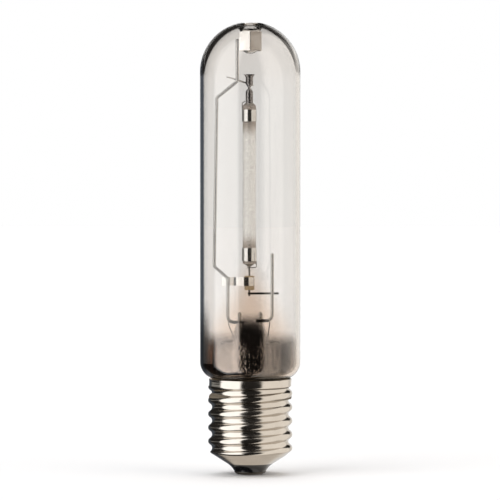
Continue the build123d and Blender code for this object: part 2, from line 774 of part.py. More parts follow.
contact_flat_radius = contact_flat_diameter / 2
edge_rise = contact_thickness - contact_edge
with BuildPart() as centre_contact:
    with BuildSketch(Plane.XZ):
        with BuildLine():
            flat = Line((eyelet_radius, 0), (contact_flat_radius, 0))
            crown = TangentArc(flat @ 1, (contact_radius, edge_rise), tangent=flat % 1)
            Polyline(
                crown @ 1,
                (contact_radius, contact_thickness),
                (eyelet_radius, contact_thickness),
                flat @ 0,
            )
        make_face()
    revolve(axis=Axis.Z)
write("centre_contact", centre_contact.part)

with BuildPart() as centre_solder:
    with BuildSketch():
        Circle(eyelet_radius)
    extrude(amount=contact_thickness)
    add(outer_lead_centre.part, mode=Mode.SUBTRACT)
write("centre_solder", centre_solder.part)
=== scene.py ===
from math import acos, atan2, cos, degrees, pi, radians, sin, sqrt

import bpy
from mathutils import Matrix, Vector


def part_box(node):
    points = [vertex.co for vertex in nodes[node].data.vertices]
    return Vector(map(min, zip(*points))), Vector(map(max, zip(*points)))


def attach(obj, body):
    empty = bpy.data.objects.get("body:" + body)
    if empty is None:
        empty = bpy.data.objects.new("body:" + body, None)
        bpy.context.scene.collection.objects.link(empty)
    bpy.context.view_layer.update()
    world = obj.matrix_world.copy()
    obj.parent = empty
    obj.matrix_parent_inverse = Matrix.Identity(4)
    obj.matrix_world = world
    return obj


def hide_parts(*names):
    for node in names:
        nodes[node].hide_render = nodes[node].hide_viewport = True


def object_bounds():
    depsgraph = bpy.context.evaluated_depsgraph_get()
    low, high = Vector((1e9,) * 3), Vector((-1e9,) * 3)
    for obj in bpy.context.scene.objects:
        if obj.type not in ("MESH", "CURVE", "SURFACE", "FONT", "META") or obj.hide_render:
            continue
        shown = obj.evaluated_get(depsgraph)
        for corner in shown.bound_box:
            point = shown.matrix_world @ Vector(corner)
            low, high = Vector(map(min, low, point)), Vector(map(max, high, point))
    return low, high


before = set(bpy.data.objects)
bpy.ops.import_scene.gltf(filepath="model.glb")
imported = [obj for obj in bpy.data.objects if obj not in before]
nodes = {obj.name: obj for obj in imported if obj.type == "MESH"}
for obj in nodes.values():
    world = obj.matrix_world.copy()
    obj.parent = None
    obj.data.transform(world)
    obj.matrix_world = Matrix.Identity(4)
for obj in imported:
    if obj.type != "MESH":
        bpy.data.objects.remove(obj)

cad_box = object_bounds()

# ---------------------------------------------------------------- arc tube and its end plugs
# The burner is a tube of sintered alumina, closed at each end by a pressed alumina plug.
# The ceramic is translucent: it shows a soft white body, and what lies inside only as shadows.
MM = 0.001


def linear(code):
    """An sRGB hex colour as linear red, green, blue and alpha."""
    channels = [int(code[i:i + 2], 16) / 255 for i in (1, 3, 5)]
    return [c / 12.92 if c <= 0.04045 else ((c + 0.055) / 1.055) ** 2.4 for c in channels] + [1.0]


def add_node(tree, kind, settings, links=()):
    """Adds a node, sets its properties and sockets, and links inputs from (socket, node, output)."""
    node = tree.nodes.new(kind)
    for key, value in settings.items():
        if isinstance(key, int) or key in node.inputs:
            node.inputs[key].default_value = value
        else:
            setattr(node, key, value)
    for socket, source, output in links:
        tree.links.new(source.outputs[output], node.inputs[socket])
    return node


def new_finish(name, settings):
    """A material of one Principled shader with its settings, its node tree and its shader."""
    finish = bpy.data.materials.new(name)
    finish.use_nodes = True
    tree = finish.node_tree
    shader = tree.nodes["Principled BSDF"]
    for socket, value in settings.items():
        shader.inputs[socket].default_value = value
    return finish, tree, shader


def dress(pieces, finish):
    """Gives CAD nodes or new pieces their finish."""
    for piece in pieces:
        mesh = (nodes[piece] if isinstance(piece, str) else piece).data
        mesh.materials.clear()
        mesh.materials.append(finish)


# Sintered alumina: matt and slightly grainy outside, it lets about half the light through.
alumina, tree, shader = new_finish(
    "sintered_alumina_translucent",
    {"IOR": 1.6, "Transmission Weight": 0.6, "Specular IOR Level": 0.6},
)
place = add_node(tree, "ShaderNodeTexCoord", {})
grain = add_node(
    tree, "ShaderNodeTexNoise", {"Scale": 1 / (0.25 * MM), "Detail": 3.0}, [("Vector", place, "Object")]
)
tone = add_node(
    tree,
    "ShaderNodeMix",
    {"data_type": "RGBA", 6: linear("#F8F6F2"), 7: linear("#FDFCFA")},
    [(0, grain, "Fac")],
)
matt = add_node(
    tree, "ShaderNodeMapRange", {"To Min": 0.24, "To Max": 0.30}, [("Value", grain, "Fac")]
)
# Both ends of the tube are painted darker next to the heat bands: painted shade for the electrodes'
# shadows seen through the ceramic.
END_SHADE_BELOW = -8 * MM      # from the upper band to where the painted shade starts
END_SHADE_ABOVE = 7 * MM       # and from the lower one
axes = add_node(tree, "ShaderNodeSeparateXYZ", {}, [("Vector", place, "Object")])
ends = []
for band, side, reach in (("upper_heat_band", 0, END_SHADE_BELOW), ("lower_heat_band", 1, END_SHADE_ABOVE)):
    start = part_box(band)[side].z
    ends.append(
        add_node(
            tree,
            "ShaderNodeMapRange",
            {"From Min": start + reach, "From Max": start, "interpolation_type": "SMOOTHSTEP"},
            [("Value", axes, "Z")],
        )
    )
painted_end_shade = add_node(
    tree, "ShaderNodeMath", {"operation": "MAXIMUM"}, [(0, ends[0], 0), (1, ends[1], 0)]
)
tone = add_node(
    tree, "ShaderNodeMix", {"data_type": "RGBA", 7: linear("#CDC2B7")}, [(0, painted_end_shade, 0), (6, tone, 2)]
)
tree.links.new(tone.outputs[2], shader.inputs["Base Color"])
tree.links.new(matt.outputs[0], shader.inputs["Roughness"])
ceramic_pieces = ("arc_tube", "upper_end_plug", "lower_end_plug")
dress(ceramic_pieces, alumina)
for name in ceramic_pieces:
    nodes[name].visible_shadow = False

# ---------------------------------------------------------------- electrodes
# Each electrode is a tungsten rod wound with two layers of fine tungsten wire near its tip.
# The coil is wound on a mandrel, slipped on the rod and pinched.
ROD_RADIUS = 0.45 * MM
TIP_CHAMFER = 0.12 * MM
COIL_WIRE_RADIUS = 0.13 * MM
COIL_RADII = (0.58 * MM, 0.86 * MM)
COIL_TURNS = 10
COIL_PITCH = 0.31 * MM
COIL_SETBACK = 1.6 * MM      # bare tip in front of the coil


def nothing_selected():
    """Leaves edit mode and clears the selection."""
    if bpy.context.mode != "OBJECT":
        bpy.ops.object.mode_set(mode="OBJECT")
    bpy.ops.object.select_all(action="DESELECT")


def finished(name, angle=35):
    """Closes the active piece: its place goes into its mesh, its faces outwards, its normals smooth."""
    piece = bpy.context.active_object
    if bpy.context.mode != "OBJECT":
        bpy.ops.object.mode_set(mode="OBJECT")
    bpy.ops.object.transform_apply(location=True, rotation=True, scale=True)
    bpy.ops.object.mode_set(mode="EDIT")
    bpy.ops.mesh.select_all(action="SELECT")
    bpy.ops.mesh.remove_doubles(threshold=0.0005 * MM)
    bpy.ops.mesh.normals_make_consistent(inside=False)
    bpy.ops.object.mode_set(mode="OBJECT")
    bpy.ops.object.shade_smooth_by_angle(angle=radians(angle))
    piece.name = name
    piece.data.name = name
    return piece


def electrode(name, node):
    """A rod with a chamfered tip and two layers of coil, where the CAD node lies."""
    low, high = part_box(node)
    x, y = (low.x + high.x) / 2, (low.y + high.y) / 2
    down = "upper" in node
    nothing_selected()
    bpy.ops.mesh.primitive_cylinder_add(
        vertices=24, radius=ROD_RADIUS, depth=high.z - low.z, location=(x, y, (low.z + high.z) / 2)
    )
    rod = bpy.context.active_object
    chamfer = rod.modifiers.new("worn_tip", "BEVEL")
    chamfer.width = TIP_CHAMFER
    chamfer.segments = 2
    bpy.ops.object.modifier_apply(modifier=chamfer.name)
    wound = [rod]
    start = low.z + COIL_SETBACK if down else high.z - COIL_SETBACK - COIL_TURNS * COIL_PITCH
    for layer, radius in enumerate(COIL_RADII):
        bpy.ops.mesh.primitive_circle_add(
            vertices=8, radius=COIL_WIRE_RADIUS, location=(radius, 0, 0), rotation=(pi / 2, 0, 0)
        )
        coil = bpy.context.active_object
        bpy.ops.object.transform_apply(location=True, rotation=True, scale=True)
        wind = coil.modifiers.new("wind", "SCREW")
        wind.axis = "Z"
        wind.steps = wind.render_steps = 20
        wind.iterations = COIL_TURNS
        wind.screw_offset = COIL_PITCH
        wind.use_merge_vertices = False
        bpy.ops.object.modifier_apply(modifier=wind.name)
        bpy.ops.object.mode_set(mode="EDIT")
        bpy.ops.mesh.select_all(action="SELECT")
        bpy.ops.mesh.fill_holes(sides=0)
        bpy.ops.object.mode_set(mode="OBJECT")
        coil.location = (x, y, start + COIL_WIRE_RADIUS * (1 - layer))
        wound.append(coil)
    for member in wound:
        member.select_set(True)
    bpy.context.view_layer.objects.active = rod
    bpy.ops.object.join()
    piece = finished(name)
    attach(piece, "root")
    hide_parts(node)
    return piece


# Drawn and wound tungsten: a dark grey metal, dulled by the heat it has worked at.
tungsten, tree, shader = new_finish("tungsten_drawn_heat_dulled", {"Metallic": 1.0})
place = add_node(tree, "ShaderNodeTexCoord", {})
scale = add_node(
    tree, "ShaderNodeTexNoise", {"Scale": 1 / (0.3 * MM), "Detail": 4.0}, [("Vector", place, "Object")]
)
tone = add_node(
    tree,
    "ShaderNodeMix",
    {"data_type": "RGBA", 6: linear("#55524F"), 7: linear("#85817C")},
    [(0, scale, "Fac")],
)
dull = add_node(
    tree, "ShaderNodeMapRange", {"To Min": 0.35, "To Max": 0.6}, [("Value", scale, "Fac")]
)
tree.links.new(tone.outputs[2], shader.inputs["Base Color"])
tree.links.new(dull.outputs[0], shader.inputs["Roughness"])
dress([electrode("upper_electrode_coil", "upper_electrode")], tungsten)
dress([electrode("lower_electrode_coil", "lower_electrode")], tungsten)

# ---------------------------------------------------------------- niobium tube, lead and dose
# Niobium carries the current through the plugs. The upper tube holds the sodium amalgam and
# is crimped shut in two directions; the lower one is a plain lead.
niobium, tree, shader = new_finish("niobium_drawn_satin", {"Metallic": 1.0})
place = add_node(tree, "ShaderNodeTexCoord", {})
along = add_node(
    tree, "ShaderNodeMapping", {"Scale": (1 / (0.12 * MM), 1 / (0.12 * MM), 1 / (3 * MM))},
    [("Vector", place, "Object")],
)
drawn = add_node(
    tree, "ShaderNodeTexNoise", {"Scale": 1.0, "Detail": 3.0}, [("Vector", along, "Vector")]
)
tone = add_node(
    tree,
    "ShaderNodeMix",
    {"data_type": "RGBA", 6: linear("#72706F"), 7: linear("#989493")},
    [(0, drawn, "Fac")],
)
satin = add_node(
    tree, "ShaderNodeMapRange", {"To Min": 0.16, "To Max": 0.32}, [("Value", drawn, "Fac")]
)
tree.links.new(tone.outputs[2], shader.inputs["Base Color"])
tree.links.new(satin.outputs[0], shader.inputs["Roughness"])
dress(["niobium_tube", "niobium_lead"], niobium)

# The dose of sodium and mercury, set as a bright bead in the tube's lower end.
amalgam, tree, shader = new_finish("sodium_amalgam_bright", {"Metallic": 1.0, "Roughness": 0.08})
place = add_node(tree, "ShaderNodeTexCoord", {})
skin = add_node(tree, "ShaderNodeTexNoise", {"Scale": 1 / (0.8 * MM)}, [("Vector", place, "Object")])
tone = add_node(
    tree,
    "ShaderNodeMix",
    {"data_type": "RGBA", 6: linear("#BDBDBF"), 7: linear("#DADADC")},
    [(0, skin, "Fac")],
)
tree.links.new(tone.outputs[2], shader.inputs["Base Color"])
dress(["amalgam_dose"], amalgam)

# Glass frit, melted in a ring between the niobium and the ceramic: greyish, fused and glossy.
frit, tree, shader = new_finish("glass_frit_fused", {"Roughness": 0.25})
place = add_node(tree, "ShaderNodeTexCoord", {})
melt = add_node(
    tree, "ShaderNodeTexNoise", {"Scale": 1 / (0.5 * MM), "Detail": 4.0}, [("Vector", place, "Object")]
)
tone = add_node(
    tree,
    "ShaderNodeMix",
    {"data_type": "RGBA", 6: linear("#5E5A55"), 7: linear("#A39C92")},
    [(0, melt, "Fac")],
)
tree.links.new(tone.outputs[2], shader.inputs["Base Color"])
dress(["upper_frit_seal", "lower_frit_seal"], frit)

# ---------------------------------------------------------------- heat bands
# Bands of bright rolled strip grip the ends of the arc tube and keep its cold spots warm.
# The strip is smooth enough to mirror its surroundings, with fine lines from the rolls.
bright_strip, tree, shader = new_finish("nickel_strip_bright_rolled", {"Metallic": 1.0})
place = add_node(tree, "ShaderNodeTexCoord", {})
along = add_node(
    tree, "ShaderNodeMapping", {"Scale": (1 / (2 * MM), 1 / (2 * MM), 1 / (0.15 * MM))},
    [("Vector", place, "Object")],
)
rolled = add_node(
    tree, "ShaderNodeTexNoise", {"Scale": 1.0, "Detail": 3.0}, [("Vector", along, "Vector")]
)
tone = add_node(
    tree,
    "ShaderNodeMix",
    {"data_type": "RGBA", 6: linear("#CFCDCA"), 7: linear("#E0DEDB")},
    [(0, rolled, "Fac")],
)
smooth = add_node(
    tree, "ShaderNodeMapRange", {"To Min": 0.07, "To Max": 0.14}, [("Value", rolled, "Fac")]
)
tree.links.new(tone.outputs[2], shader.inputs["Base Color"])
tree.links.new(smooth.outputs[0], shader.inputs["Roughness"])
dress(["upper_heat_band", "lower_heat_band"], bright_strip)

# ---------------------------------------------------------------- tails of the heat bands
# A thin wire from each band touches the niobium, so that the band follows its potential. It is
# nickel-plated wire, drawn and bent cold: satin, a little darker where a die has marked it.
plated_wire, tree, shader = new_finish("nickel_plated_wire_drawn", {"Metallic": 1.0})
place = add_node(tree, "ShaderNodeTexCoord", {})
marks = add_node(
    tree, "ShaderNodeTexNoise", {"Scale": 1 / (0.7 * MM), "Detail": 4.0}, [("Vector", place, "Object")]
)
tone = add_node(
    tree,
    "ShaderNodeMix",
    {"data_type": "RGBA", 6: linear("#A9A7A4"), 7: linear("#C6C4C1")},
    [(0, marks, "Fac")],
)
satin = add_node(
    tree, "ShaderNodeMapRange", {"To Min": 0.08, "To Max": 0.18}, [("Value", marks, "Fac")]
)
tree.links.new(tone.outputs[2], shader.inputs["Base Color"])
tree.links.new(satin.outputs[0], shader.inputs["Roughness"])
dress(["upper_band_tail", "lower_band_tail"], plated_wire)

# ---------------------------------------------------------------- stem, exhaust tube and leads
# The stem is lead glass: a tube flared to the neck at its foot, its top pressed flat while hot
# round the lead-in rods. The exhaust tube through which the bulb was pumped hangs below it.
pressed_glass, tree, shader = new_finish(
    "lead_glass_pressed", {"IOR": 1.56, "Transmission Weight": 1.0}
)
place = add_node(tree, "ShaderNodeTexCoord", {})
cords = add_node(
    tree, "ShaderNodeTexNoise", {"Scale": 1 / (5 * MM), "Detail": 2.0}, [("Vector", place, "Object")]
)
tone = add_node(
    tree,
    "ShaderNodeMix",
    {"data_type": "RGBA", 6: linear("#B9B7B2"), 7: linear("#CFCDC8")},
    [(0, cords, "Fac")],
)
gloss = add_node(tree, "ShaderNodeMapRange", {"To Min": 0.0, "To Max": 0.05}, [("Value", cords, "Fac")])
waves = add_node(
    tree, "ShaderNodeBump", {"Strength": 0.15, "Distance": 0.2 * MM}, [("Height", cords, "Fac")]
)
tree.links.new(tone.outputs[2], shader.inputs["Base Color"])
tree.links.new(gloss.outputs[0], shader.inputs["Roughness"])
tree.links.new(waves.outputs[0], shader.inputs["Normal"])
dress(["stem_glass", "exhaust_tube"], pressed_glass)
for name in ("stem_glass", "exhaust_tube"):
    nodes[name].visible_shadow = False
dress(["lead_in_left", "lead_in_right"], plated_wire)

# The outer leads are tinned copper: warm under a thin grey skin of tin.
tinned_copper, tree, shader = new_finish("copper_wire_tinned", {"Metallic": 1.0, "Roughness": 0.3})
place = add_node(tree, "ShaderNodeTexCoord", {})
skin = add_node(
    tree, "ShaderNodeTexNoise", {"Scale": 1 / (1.5 * MM), "Detail": 5.0}, [("Vector", place, "Object")]
)
tone = add_node(
    tree,
    "ShaderNodeMix",
    {"data_type": "RGBA", 6: linear("#C48A63"), 7: linear("#B9B2A8")},
    [(0, skin, "Fac")],
)
tree.links.new(tone.outputs[2], shader.inputs["Base Color"])
dress(["outer_lead_side", "outer_lead_centre"], tinned_copper)

# ---------------------------------------------------------------- frame, post and cross wires
# Bent wires carry the burner: the long one reaches the dome, the post holds the lower end.
# They are butted side by side and resistance welded, which leaves a small bead at each joint.
WELD_BEAD = 0.55 * MM
WELD_FLATTENED = 0.35        # of its width, across the joint
WELD_RUFFLE = 0.03 * MM
dress(["frame_wire", "support_post", "upper_cross_wire", "lower_cross_wire"], plated_wire)

rod_low, rod_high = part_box("lead_in_right")
frame_low, frame_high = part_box("frame_wire")
post_low, post_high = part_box("support_post")
cross_low, cross_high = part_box("lower_cross_wire")
lead_low, lead_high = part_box("niobium_lead")
wire_radius = (frame_high.y - frame_low.y) / 2
contact_plane = frame_high.y
rod_x = (rod_low.x + rod_high.x) / 2
cross_z = (cross_low.z + cross_high.z) / 2
weld_places = [
    (-rod_x, contact_plane, frame_low.z + wire_radius),
    (rod_x, contact_plane, post_low.z + wire_radius),
    (post_high.x - wire_radius, contact_plane, cross_z),
    ((lead_low.x + lead_high.x) / 2, lead_low.y, cross_z),
]
nothing_selected()
beads = []
for number, spot in enumerate(weld_places):
    bpy.ops.mesh.primitive_ico_sphere_add(subdivisions=3, radius=WELD_BEAD, location=spot)
    bead = bpy.context.active_object
    bead.scale = (1.0, WELD_FLATTENED, 1.0)
    bpy.ops.object.transform_apply(location=False, rotation=False, scale=True)
    bpy.ops.object.mode_set(mode="EDIT")
    bpy.ops.mesh.select_all(action="SELECT")
    bpy.ops.transform.vertex_random(offset=WELD_RUFFLE, seed=number)
    bpy.ops.mesh.vertices_smooth(factor=0.5, repeat=2)
    bpy.ops.object.mode_set(mode="OBJECT")
    beads.append(bead)
for bead in beads:
    bead.select_set(True)
bpy.context.view_layer.objects.active = beads[0]
bpy.ops.object.join()
weld_beads = finished("weld_beads", 60)
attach(weld_beads, "root")

# Weld metal: melted and set again, darker than the wire and heat-tinted.
weld_metal, tree, shader = new_finish("weld_bead_heat_tinted", {"Metallic": 1.0, "Roughness": 0.35})
place = add_node(tree, "ShaderNodeTexCoord", {})
tint = add_node(
    tree, "ShaderNodeTexNoise", {"Scale": 1 / (0.4 * MM)}, [("Vector", place, "Object")]
)
tone = add_node(
    tree,
    "ShaderNodeMix",
    {"data_type": "RGBA", 6: linear("#5B544D"), 7: linear("#9C958C")},
    [(0, tint, "Fac")],
)
tree.links.new(tone.outputs[2], shader.inputs["Base Color"])
dress([weld_beads], weld_metal)

# ---------------------------------------------------------------- strap in the dome
# A strip folded to a hexagon grips the finger of glass in the dome, and the frame wire is welded
# to it. Its colour is painted lighter left of the fold in front and darker right of it, as painted
# light and shade, and it is rougher on the right.
DULL_AND_SHADE_FROM = -0.5 * MM        # across the fold, on X
DULL_AND_SHADE_TO = 0.1 * MM
dulled_and_shaded_strip, tree, shader = new_finish("nickel_strip_dulled_and_painted_shade", {"Metallic": 1.0})
place = add_node(tree, "ShaderNodeTexCoord", {})
axes = add_node(tree, "ShaderNodeSeparateXYZ", {}, [("Vector", place, "Object")])
haze = add_node(
    tree, "ShaderNodeTexNoise", {"Scale": 1 / (1.5 * MM), "Detail": 4.0}, [("Vector", place, "Object")]
)
# Painted light and shade: a lighter tone left of the fold, and a darker one right of it.
painted_lit_tone = add_node(
    tree,
    "ShaderNodeMix",
    {"data_type": "RGBA", 6: linear("#E2E1DF"), 7: linear("#EDECEA")},
    [(0, haze, "Fac")],
)
painted_shade_tone = add_node(
    tree,
    "ShaderNodeMix",
    {"data_type": "RGBA", 6: linear("#A8A39E"), 7: linear("#BAB5B0")},
    [(0, haze, "Fac")],
)
across = add_node(
    tree, "ShaderNodeMapRange", {"From Min": DULL_AND_SHADE_FROM, "From Max": DULL_AND_SHADE_TO}, [("Value", axes, "X")]
)
tone = add_node(
    tree, "ShaderNodeMix", {"data_type": "RGBA"}, [(0, across, 0), (6, painted_lit_tone, 2), (7, painted_shade_tone, 2)]
)
smooth = add_node(tree, "ShaderNodeMapRange", {"To Min": 0.07, "To Max": 0.3}, [("Value", across, 0)])
tree.links.new(tone.outputs[2], shader.inputs["Base Color"])
tree.links.new(smooth.outputs[0], shader.inputs["Roughness"])
dress(["dimple_strap"], dulled_and_shaded_strip)

# ---------------------------------------------------------------- strap of the guide
# A strip welded behind the frame wire and curled round the front of the bush. It is bright and
# waves a little, so that it mirrors its surroundings in bars.
WAVE_LENGTH = 7.6 * MM
WAVE_HEIGHT = 0.5 * MM
WAVE_PHASE = 3.9             # in radians, at the lamp's axis
bent_strip, tree, shader = new_finish("nickel_strip_bent_wavy", {"Metallic": 1.0, "Roughness": 0.12})
place = add_node(tree, "ShaderNodeTexCoord", {})
axes = add_node(tree, "ShaderNodeSeparateXYZ", {}, [("Vector", place, "Object")])
phase = add_node(
    tree,
    "ShaderNodeMath",
    {"operation": "MULTIPLY_ADD", 1: 2 * pi / WAVE_LENGTH, 2: WAVE_PHASE},
    [(0, axes, "X")],
)
wave = add_node(tree, "ShaderNodeMath", {"operation": "SINE"}, [(0, phase, 0)])
bent = add_node(
    tree, "ShaderNodeBump", {"Strength": 1.0, "Distance": WAVE_HEIGHT}, [("Height", wave, 0)]
)
specks = add_node(
    tree, "ShaderNodeTexNoise", {"Scale": 1 / (0.8 * MM), "Detail": 3.0}, [("Vector", place, "Object")]
)
tone = add_node(
    tree,
    "ShaderNodeMix",
    {"data_type": "RGBA", 6: linear("#CFCDCA"), 7: linear("#E0DEDB")},
    [(0, specks, "Fac")],
)
tree.links.new(tone.outputs[2], shader.inputs["Base Color"])
tree.links.new(bent.outputs[0], shader.inputs["Normal"])
dress(["guide_strap"], bent_strip)

# ---------------------------------------------------------------- guide bush
# A bush of fired steatite, pressed as powder and left unglazed, steadies the lower lead, which
# slides in it as the burner warms. It is beige, matt and faintly porous.
steatite, tree, shader = new_finish("steatite_fired_unglazed", {"Roughness": 0.55})
place = add_node(tree, "ShaderNodeTexCoord", {})
specks = add_node(
    tree, "ShaderNodeTexNoise", {"Scale": 1 / (0.5 * MM), "Detail": 5.0}, [("Vector", place, "Object")]
)
tone = add_node(
    tree,
    "ShaderNodeMix",
    {"data_type": "RGBA", 6: linear("#9C8768"), 7: linear("#C2B090")},
    [(0, specks, "Fac")],
)
pores = add_node(
    tree, "ShaderNodeBump", {"Strength": 0.3, "Distance": 0.05 * MM}, [("Height", specks, "Fac")]
)
tree.links.new(tone.outputs[2], shader.inputs["Base Color"])
tree.links.new(pores.outputs[0], shader.inputs["Normal"])
dress(["guide_bush"], steatite)

# ---------------------------------------------------------------- getter ring
# A pressed channel of nickel-iron that held barium powder. It was heated from outside until
# the barium flashed off, which left the channel scorched and dark.
getter_steel, tree, shader = new_finish("nickel_iron_heat_blackened", {"Metallic": 1.0})
place = add_node(tree, "ShaderNodeTexCoord", {})
scorch = add_node(
    tree, "ShaderNodeTexNoise", {"Scale": 1 / (2 * MM), "Detail": 5.0}, [("Vector", place, "Object")]
)
tone = add_node(
    tree,
    "ShaderNodeMix",
    {"data_type": "RGBA", 6: linear("#3B3733"), 7: linear("#8C857D")},
    [(0, scorch, "Fac")],
)
dull = add_node(tree, "ShaderNodeMapRange", {"To Min": 0.25, "To Max": 0.5}, [("Value", scorch, "Fac")])
tree.links.new(tone.outputs[2], shader.inputs["Base Color"])
tree.links.new(dull.outputs[0], shader.inputs["Roughness"])
dress(["getter_ring"], getter_steel)
dress(["getter_support_left", "getter_support_right"], plated_wire)

# ---------------------------------------------------------------- outer bulb
# The bulb is drawn borosilicate tube, blown to a dome with a finger of glass pushed into it
# and necked at the foot. The burner was lowered in and the flare sealed to the neck.
bulb_low, bulb_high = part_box("outer_bulb")
BULB_RADIUS = (bulb_high.x - bulb_low.x) / 2 / MM   # these sizes are in mm
BULB_WALL = 1.6
FINGER_WALL = 1.1
DOME_WALL = 2.4              # the glass thickens over the dome
DOME_DROP = 3.2              # of the inner dome's foot below the outer one's
WEB = 1.2                    # inside corner between finger and dome
MOUTH_RADIUS = 1.2           # rounded mouth of the finger
MOUTH_BORE = 3.7
MOUTH_TOP = bulb_high.z / MM
NECK_BOTTOM = bulb_low.z / MM
NECK_RADIUS = 16.4
NECK_CURVE = 3.0
SHOULDER = 8.0
TUBE_FOOT = 52.4             # where the shoulder meets the straight tube
TUBE_RINGS = (82, 108, 134, 160)
FINGER_CENTRE = 200.4        # of the finger's round end
DOME_STEPS = 40
ROUND_STEPS = 144


def arc(centre, radius, start, end, steps):
    """Points in mm along an arc about centre, from start to end in degrees."""
    turns = [radians(start + (end - start) * i / steps) for i in range(steps + 1)]
    return [(centre[0] + radius * cos(t), centre[1] + radius * sin(t)) for t in turns]


def turned(name, outline, steps, closed, angle=35):
    """A piece spun about the lamp's axis from its outline of (radius, height) points in mm."""
    nothing_selected()
    points = [Vector((r * MM, 0, z * MM)) for r, z in outline]
    bpy.ops.mesh.primitive_plane_add(size=MM, location=points[0])
    bpy.ops.object.transform_apply(location=True, rotation=True, scale=True)
    bpy.ops.object.mode_set(mode="EDIT")
    bpy.ops.mesh.select_all(action="SELECT")
    bpy.ops.mesh.merge(type="CENTER")
    for here, there in zip(points, points[1:] + points[:1] * closed):
        bpy.ops.mesh.extrude_region_move(TRANSFORM_OT_translate={"value": there - here})
    bpy.ops.mesh.select_all(action="SELECT")
    bpy.ops.mesh.spin(steps=steps, angle=2 * pi, center=(0, 0, 0), axis=(0, 0, 1))
    return finished(name, angle)


dome_centre = MOUTH_TOP - MOUTH_RADIUS - sqrt(
    (BULB_RADIUS - MOUTH_RADIUS) ** 2 - (MOUTH_BORE + MOUTH_RADIUS) ** 2
)
mouth_centre = (MOUTH_BORE + MOUTH_RADIUS, MOUTH_TOP - MOUTH_RADIUS)
mouth_end = degrees(atan2(mouth_centre[1] - dome_centre, mouth_centre[0]))
neck_curve_x = NECK_RADIUS + NECK_CURVE
shoulder_x = BULB_RADIUS - SHOULDER
curve_z = TUBE_FOOT - sqrt((SHOULDER + NECK_CURVE) ** 2 - (neck_curve_x - shoulder_x) ** 2)
bend = degrees(atan2(curve_z - TUBE_FOOT, neck_curve_x - shoulder_x))
inner_radius = BULB_RADIUS - BULB_WALL
inner_foot = dome_centre - DOME_DROP
inner_rise = BULB_RADIUS - DOME_WALL + DOME_DROP
finger_radius = MOUTH_BORE + FINGER_WALL
web_x = finger_radius + WEB
web_turn = acos(web_x / inner_radius)
web_z = inner_foot + inner_rise * sin(web_turn) - WEB
inner_dome = [
    (
        inner_radius * cos(web_turn * i / DOME_STEPS),
        inner_foot + inner_rise * sin(web_turn * i / DOME_STEPS),
    )
    for i in range(DOME_STEPS)
]
bulb_outline = (
    arc((0, FINGER_CENTRE), MOUTH_BORE, -90, 0, 12)
    + arc(mouth_centre, MOUTH_RADIUS, 180, mouth_end, 10)
    + arc((0, dome_centre), BULB_RADIUS, mouth_end, 0, DOME_STEPS)[1:]
    + [(BULB_RADIUS, z) for z in reversed(TUBE_RINGS)]
    + arc((shoulder_x, TUBE_FOOT), SHOULDER, 0, bend, 16)
    + arc((neck_curve_x, curve_z), NECK_CURVE, 180 + bend, 180, 10)[1:]
    + [(NECK_RADIUS, NECK_BOTTOM), (NECK_RADIUS - BULB_WALL, NECK_BOTTOM)]
    + arc((neck_curve_x, curve_z), NECK_CURVE + BULB_WALL, 180, 180 + bend, 10)
    + arc((shoulder_x, TUBE_FOOT), SHOULDER - BULB_WALL, bend, 0, 16)[1:]
    + [(inner_radius, z) for z in TUBE_RINGS]
    + inner_dome
    + arc((web_x, web_z), WEB, 80, 180, 10)
    + arc((0, FINGER_CENTRE), finger_radius, 0, -90, 12)
)
bulb = turned("bulb_glass", bulb_outline, ROUND_STEPS, False)
bulb.visible_shadow = False
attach(bulb, "root")
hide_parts("outer_bulb")

# Drawn borosilicate glass: clear and fire-polished, with faint cords along the drawing. Its
# slight grey dims what is seen through it, a warm tint rises from the foot in the middle, and
# the dome is a little warm too.
FOOT_TINT_TOP = 110 * MM         # where the warm tint starts, in the middle
FOOT_TINT_FULL = 78 * MM
FOOT_TINT_SLOPE = 1.7            # how much lower it lies per distance to the side
DOME_WARM_FROM = 172 * MM
DOME_WARM_TO = 196 * MM
DOME_WARMTH = 0.12
DARK_EDGE_FROM = -19.5 * MM  # on X, at the frame wire's side
DARK_EDGE_TO = -21.5 * MM
DARK_EDGE_TOP = 82 * MM
DARK_EDGE_FULL = 62 * MM
bulb_glass, tree, shader = new_finish(
    "borosilicate_glass_drawn_clear", {"IOR": 1.48, "Transmission Weight": 1.0, "Roughness": 0.0}
)
place = add_node(tree, "ShaderNodeTexCoord", {})
along = add_node(
    tree, "ShaderNodeMapping", {"Scale": (1 / (9 * MM), 1 / (9 * MM), 1 / (90 * MM))},
    [("Vector", place, "Object")],
)
cords = add_node(
    tree, "ShaderNodeTexNoise", {"Scale": 1.0, "Detail": 2.0}, [("Vector", along, "Vector")]
)
tone = add_node(
    tree,
    "ShaderNodeMix",
    {"data_type": "RGBA", 6: linear("#ECEAE8"), 7: linear("#F2F1EF")},
    [(0, cords, "Fac")],
)
axes = add_node(tree, "ShaderNodeSeparateXYZ", {}, [("Vector", place, "Object")])
aside = add_node(tree, "ShaderNodeMath", {"operation": "ABSOLUTE"}, [(0, axes, "X")])
foot_tint_height = add_node(
    tree,
    "ShaderNodeMath",
    {"operation": "MULTIPLY_ADD", 1: FOOT_TINT_SLOPE},
    [(0, aside, 0), (2, axes, "Z")],
)
foot_tint = add_node(
    tree,
    "ShaderNodeMapRange",
    {"From Min": FOOT_TINT_TOP, "From Max": FOOT_TINT_FULL, "interpolation_type": "SMOOTHSTEP"},
    [("Value", foot_tint_height, 0)],
)
warm = add_node(
    tree,
    "ShaderNodeMapRange",
    {"From Min": DOME_WARM_FROM, "From Max": DOME_WARM_TO, "To Max": DOME_WARMTH,
     "interpolation_type": "SMOOTHSTEP"},
    [("Value", axes, "Z")],
)
tinted = add_node(tree, "ShaderNodeMath", {"operation": "ADD"}, [(0, foot_tint, 0), (1, warm, 0)])
foot_tinted = add_node(
    tree, "ShaderNodeMix", {"data_type": "RGBA", 7: linear("#E8DCD1")}, [(0, tinted, 0), (6, tone, 2)]
)
